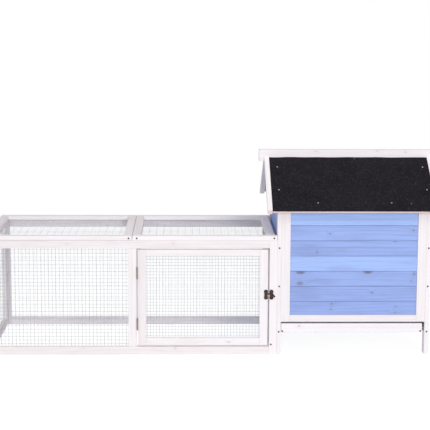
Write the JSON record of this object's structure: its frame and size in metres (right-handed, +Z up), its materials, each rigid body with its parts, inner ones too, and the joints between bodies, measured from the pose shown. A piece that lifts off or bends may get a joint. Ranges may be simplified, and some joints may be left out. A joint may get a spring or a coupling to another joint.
{
  "type": "rabbit hutch",
  "caption": "Gabled timber rabbit house joined to a wire-mesh run, with a hinged mesh door and swing latch, a hinged mesh lid and a pull-out tray.",
  "frame": {"origin": "on the ground, at the middle of the hutch's outline seen from above", "axes": "+X from the run towards the house, -Y towards the front with the door and the tray, +Z up"},
  "size_m": [1.582, 0.51, 0.69],
  "materials": {
    "white_wood": "thin white wash on fir, matt",
    "blue_wood": "light blue stain on fir, matt",
    "roof_ply": "raw boards",
    "roof_felt": "black bitumen felt with mineral grit",
    "mesh_wire": "galvanised wire",
    "tray_sheet": "galvanised sheet",
    "hinge_metal": "pinkish brown lacquer",
    "latch_bronze": "dark bronze lacquer",
    "screw_steel": "plated steel",
    "nail_zinc": "zinc plated"
  },
  "bodies": {
    "hutch": {"run_front_left_stile": "white_wood", "run_front_middle_stile": "white_wood", "run_front_right_stile": "white_wood", "run_front_top_rail": "white_wood", "run_front_bottom_rail": "white_wood", "run_back_stiles": "white_wood", "run_back_top_rail": "white_wood", "run_back_bottom_rail": "white_wood", "run_end_stiles": "white_wood", "run_end_rails": "white_wood", "top_panel_long_rails": "white_wood", "top_panel_short_rails": "white_wood", "door_stop": "white_wood", "house_front_legs": "white_wood", "house_back_legs": "white_wood", "house_front_stiles": "white_wood", "house_front_bottom_rail": "white_wood", "house_battens": "white_wood", "house_back_stiles": "white_wood", "house_back_bottom_rail": "white_wood", "ridge_beam": "white_wood", "bargeboards_left": "white_wood", "bargeboards_right": "white_wood", "tray_runners": "white_wood", "house_front_boards": "blue_wood", "house_back_boards": "blue_wood", "house_left_boards": "blue_wood", "house_right_boards": "blue_wood", "roof_board_front": "roof_ply", "roof_board_back": "roof_ply", "roof_felt_front": "roof_felt", "roof_felt_back": "roof_felt", "run_front_mesh": "mesh_wire", "run_back_mesh": "mesh_wire", "run_end_mesh": "mesh_wire", "top_panel_mesh": "mesh_wire", "door_hinge_frame_leaves": "hinge_metal", "door_hinge_pins": "hinge_metal", "lid_hinge_frame_leaves": "hinge_metal", "lid_hinge_pins": "hinge_metal", "latch_keeper": "latch_bronze", "frame_screws": "screw_steel", "felt_nails": "nail_zinc"},
    "run_door": {"door_hinge_stile": "white_wood", "door_latch_stile": "white_wood", "door_top_rail": "white_wood", "door_bottom_rail": "white_wood", "door_mesh": "mesh_wire", "door_hinge_door_leaves": "hinge_metal", "latch_plate": "latch_bronze", "latch_plate_screws": "screw_steel"},
    "latch_arm": {"latch_arm": "latch_bronze"},
    "run_lid": {"lid_long_rails": "white_wood", "lid_short_rails": "white_wood", "lid_mesh": "mesh_wire", "lid_hinge_lid_leaves": "hinge_metal", "lid_screws": "screw_steel"},
    "tray": {"tray_front_board": "white_wood", "tray_pan": "tray_sheet", "tray_screws": "screw_steel"}
  },
  "joints": [
    {"name": "run_door_hinge", "type": "hinge", "parent": "hutch", "child": "run_door", "pos_m": [-0.2715, -0.233, 0.2015], "axis": [0, 0, -1], "range_deg": [0, 170]},
    {"name": "latch_arm_swing", "type": "hinge", "parent": "run_door", "child": "latch_arm", "pos_m": [0.1712, -0.233, 0.216], "axis": [0, -1, 0], "range_deg": [0, 95]},
    {"name": "run_lid_hinge", "type": "hinge", "parent": "hutch", "child": "run_lid", "pos_m": [-0.54, 0.233, 0.40225], "axis": [-1, 0, 0], "range_deg": [0, 105]},
    {"name": "tray_slide", "type": "slide", "parent": "hutch", "child": "tray", "axis": [0, -1, 0], "range_m": [0, 0.4]}
  ]
}
